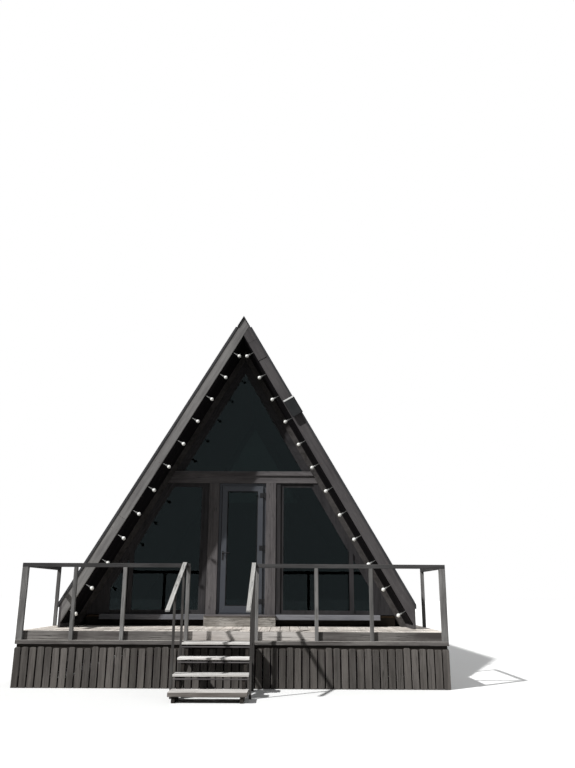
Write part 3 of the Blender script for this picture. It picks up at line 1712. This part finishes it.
@dataclass
class StringLights(Part):
    """Globe bulbs in their sockets, on stems square to the bargeboards."""

    front: float = -1.8635
    inset: float = 0.277
    first_drop: float = 0.661
    pitch: float = 0.423
    count: int = 12
    radius: float = 0.028
    globe_steps: int = 14
    globe_start: float = 4.0
    globe_sweep: float = 146.0
    neck: tuple[Span, ...] = ((0.0135, 0.0262), (0.0125, 0.0300))
    mouth: tuple[Span, ...] = ((0.0105, 0.027), (0.0132, 0.0275))
    ribs: int = 5
    rib_pitch: float = 0.005
    rib: tuple[Span, ...] = ((0.0132, 0.0300), (0.0124, 0.0315), (0.0124, 0.0335))
    shoulder: tuple[Span, ...] = ((0.0130, 0.0565), (0.0085, 0.060), (0.0050, 0.064), (0.0050, 0.1267))

    def build(self) -> None:
        """Builds the bulbs, and the sockets with their stems, on both slopes."""
        z = self.line.apex - self.first_drop
        for side in Side:
            start = Vector((side.value * self.line.half_at(z, self.inset), self.front, z))
            for name, form, finish in (("bulbs", self.globe(), OPAL),
                                       ("bulb_sockets", self.socket(), SOCKET)):
                mesh = as_mesh(form, name, side.frame)
                row = BoardRow(mesh, start, side.down * self.pitch, self.count, seed=9)
                row.build(f"{name}_{side.word}", finish.material(self.groups),
                          Entry(Slot.LIGHT_STRING, replaces=("string_lights",)))

    def globe(self) -> Form:
        """The glass globe with its neck."""
        turns = [math.radians(self.globe_start + i * self.globe_sweep / self.globe_steps)
                 for i in range(self.globe_steps + 1)]
        rings = [(self.radius * math.sin(turn), -self.radius * math.cos(turn)) for turn in turns]
        return lathe((*rings, *self.neck), sides=28)

    def socket(self) -> Form:
        """The ribbed socket and the stem."""
        ribs = [(radius, height + i * self.rib_pitch) for i in range(self.ribs)
                for radius, height in self.rib]
        return lathe((*self.mouth, *ribs, *self.shoulder), sides=24)


@dataclass
class Roof(Part):
    """Roof slabs, lining, sheets, ridge cap, bargeboards with their screws, and soffit boards."""

    soffit_inset: float = 0.1506
    soffit_t: float = 0.012
    soffit_w: float = 0.1775
    soffit_gap: Span = (0.002, 0.003)
    soffit_edge: float = 0.002
    soffit_count: int = 4
    eave_x: float = 2.602
    barge_back: float = -1.8435
    wall_back: float = 3.3775
    screw_insets: Span = (0.035, 0.115)
    first_screw: float = 0.34
    screw_pitch: float = 0.6
    screw_count: int = 8

    def build(self) -> None:
        """Builds and dresses the roof."""
        dress(SOFFIT.material(self.groups, Run.DEEP), "roof_left", "roof_right")
        dress(LINING.material(self.groups, Run.DEEP), "lining_left", "lining_right")
        dress(SHEET.material(self.groups), "cladding_left", "cladding_right", "ridge_cap")
        for node, finish in (("bargeboard_front_left", BARGE), ("bargeboard_front_right", BARGE_DARK),
                             ("bargeboards_back", BARGE)):
            softened_node(node, self.paints(finish), Slot.BARGEBOARD, sloped=True)
        softened_node("eave_boards", self.paints(BARGE_DARK), Slot.STAINED)
        for side in Side:
            self.soffits(side)
            self.screws(side)

    def soffits(self, side: Side) -> None:
        """Boards up the slope under both overhangs of one side.

        Args:
            side: the side of the roof.
        """
        near, far = self.soffit_inset, self.soffit_inset + self.soffit_t
        line, eave = self.line, self.eave_x
        outline = [(side.value * x, z) for x, z in (
            (0.0, line.apex - near * 2), (eave, line.height_at(eave, near)),
            (eave, line.height_at(eave, far)), (0.0, line.apex - far * 2))]
        for name, start in (("front", self.barge_back), ("back", self.wall_back)):
            form = prism(outline, self.soffit_gap[0], self.soffit_w - self.soffit_gap[1])
            round_edges(form, self.soffit_edge)
            mesh = store_place(as_mesh(form, "soffit"), side.down)
            row = BoardRow(mesh, Vector((0, start, 0)), Vector((0, self.soffit_w, 0)),
                           self.soffit_count, seed=5 + side.value)
            row.build(f"soffit_{name}_{side.word}", SOFFIT.material(self.groups), Entry(Slot.STAINED))

    def screws(self, side: Side) -> None:
        """Pairs of screw heads along a front bargeboard.

        Args:
            side: the side of the roof.
        """
        pair = Joinery("screw_pair", seed=3)
        for inset in self.screw_insets:
            place = Matrix.Translation(-side.out * inset) @ FACING_FRONT
            pair.take(screw_head(radius=0.0065, height=0.0018), place)
        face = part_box("bargeboard_front_left")[0].y
        start = Vector((0, face, self.line.apex)) + side.down * self.first_screw
        row = BoardRow(pair.mesh(), start, side.down * self.screw_pitch, self.screw_count, seed=4)
        row.build(f"barge_screws_{side.word}", NAIL.material(self.groups), Entry(Slot.BLACK_METAL))


@dataclass(frozen=True)
class Lamp:
    """A far lamp: its side round from the front to the right, height and spread in degrees."""

    name: str
    side: float
    height: float
    energy: float
    spread: float

    def place(self) -> None:
        """Adds the lamp to the scene."""
        side, height = math.radians(self.side), math.radians(self.height)
        data = bpy.data.lights.new(self.name, "SUN")
        data.energy = self.energy
        data.angle = math.radians(self.spread)
        lamp = bpy.data.objects.new(self.name, data)
        towards = Vector((math.sin(side) * math.cos(height), -math.cos(side) * math.cos(height),
                          math.sin(height)))
        lamp.rotation_euler = towards.to_track_quat("Z", "Y").to_euler()
        bpy.context.scene.collection.objects.link(lamp)


@dataclass
class Studio:
    """Camera, a high lamp from the front left, weak soft ones on the right and behind, and floor."""

    place: Triple = (0.705, -13.0535, 1.221)
    yaw: float = math.radians(0.116)
    pitch: float = math.radians(16.18)
    roll: float = math.radians(0.295)
    focal_pixels: float = 720.0
    sensor: float = 36.0
    far: float = 500.0
    lamps: tuple[Lamp, ...] = (Lamp("key", side=-51, height=42, energy=4.9, spread=1.5),
                               Lamp("fill", side=80, height=25, energy=0.35, spread=30),
                               Lamp("back", side=152, height=32, energy=1.2, spread=30))
    sky: float = 0.15
    sky_colour: Triple = (0.92, 0.95, 1.0)
    bounce: Triple = (0.17, 0.17, 0.17 * 0.97)
    floor_reach: float = 120.0
    floor_shades: tuple[Triple, Triple] = ((0.80, 0.80, 0.79), (0.84, 0.84, 0.83))

    def build(self) -> None:
        """Sets up the whole studio."""
        self.camera()
        for lamp in self.lamps:
            lamp.place()
        self.world()
        self.floor()

    def camera(self) -> None:
        """Places the camera as the photograph was taken."""
        forward = Vector((math.sin(self.yaw) * math.cos(self.pitch),
                          math.cos(self.yaw) * math.cos(self.pitch), math.sin(self.pitch)))
        level = Vector((math.cos(self.yaw), -math.sin(self.yaw), 0))
        above = level.cross(forward)
        right = level * math.cos(self.roll) + above * math.sin(self.roll)
        up = above * math.cos(self.roll) - level * math.sin(self.roll)
        data = bpy.data.cameras.new("camera")
        data.sensor_fit = "HORIZONTAL"
        data.sensor_width = self.sensor
        data.lens = self.sensor * self.focal_pixels / PHOTO_WIDTH
        data.clip_end = self.far
        camera = bpy.data.objects.new("camera", data)
        turned = Matrix((right, up, -forward)).transposed().to_4x4()
        camera.matrix_world = Matrix.Translation(Vector(self.place)) @ turned
        bpy.context.scene.collection.objects.link(camera)
        bpy.context.scene.camera = camera

    @staticmethod
    def seen(w: Wiring) -> Socket:
        """Tells the rays that see the background from those that light the object.

        Args:
            w: the wiring of the floor's or the world's nodes.

        Returns:
            The value output, 1 for camera, glossy and transmission rays.
        """
        paths = w.add("ShaderNodeLightPath")
        clear = w.maths("MAXIMUM", paths.outputs["Is Glossy Ray"], paths.outputs["Is Transmission Ray"])
        return w.maths("MAXIMUM", paths.outputs["Is Camera Ray"], clear)

    def world(self) -> None:
        """White behind everything, and a softer even light on the object."""
        world = bpy.data.worlds.new("studio")
        bpy.context.scene.world = world
        world.use_nodes = True
        w = Wiring(world.node_tree)
        lit = w.add("ShaderNodeBackground", Color=(*self.sky_colour, 1.0), Strength=self.sky)
        white = w.add("ShaderNodeBackground", Color=(1.0, 1.0, 1.0, 1.0), Strength=1.0)
        both = w.add("ShaderNodeMixShader", n0=self.seen(w), n1=lit.outputs[0], n2=white.outputs[0])
        w.add("ShaderNodeOutputWorld", Surface=both.outputs[0])

    def floor(self) -> None:
        """A wide pale floor at ground level, which throws back less light than it shows."""
        reach = self.floor_reach
        mesh = bpy.data.meshes.new("studio_floor")
        corners = [(-reach, -reach, 0), (reach, -reach, 0), (reach, reach, 0), (-reach, reach, 0)]
        mesh.from_pydata(corners, [], [(0, 1, 2, 3)])
        floor = new_piece("studio_floor", mesh)
        w = Surface("pale floor")
        pale = w.mix(w.noise(w.object_place(), scale=0.6), *self.floor_shades)
        w.show(Roughness=0.9, Base_Color=w.mix(self.seen(w), self.bounce, pale))
        mesh.materials.append(w.material)


def main() -> None:
    """Builds the cabin's looks piece by piece."""
    logging.basicConfig(level=logging.INFO, format="%(name)s: %(message)s")
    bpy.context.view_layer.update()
    bpy.context.scene.view_settings.view_transform = "Standard"
    Studio().build()
    groups = Groups(GrainGroup().group, GrimeGroup().group)
    line = RoofLine(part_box("roof_left")[1].z)
    for kind in (Roof, Gable, Door, Floodlight, StringLights, Deck, Skirts, Railing, Stair):
        kind(groups, line).build()
        LOG.info("%s is built", kind.__name__)


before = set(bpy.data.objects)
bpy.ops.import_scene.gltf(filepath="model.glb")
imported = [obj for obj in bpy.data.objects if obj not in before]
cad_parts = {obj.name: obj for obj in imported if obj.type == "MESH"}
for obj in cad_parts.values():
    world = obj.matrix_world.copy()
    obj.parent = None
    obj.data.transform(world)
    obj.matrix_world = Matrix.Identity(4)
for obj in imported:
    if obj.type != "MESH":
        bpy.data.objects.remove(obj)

if __name__ == "__main__":
    main()
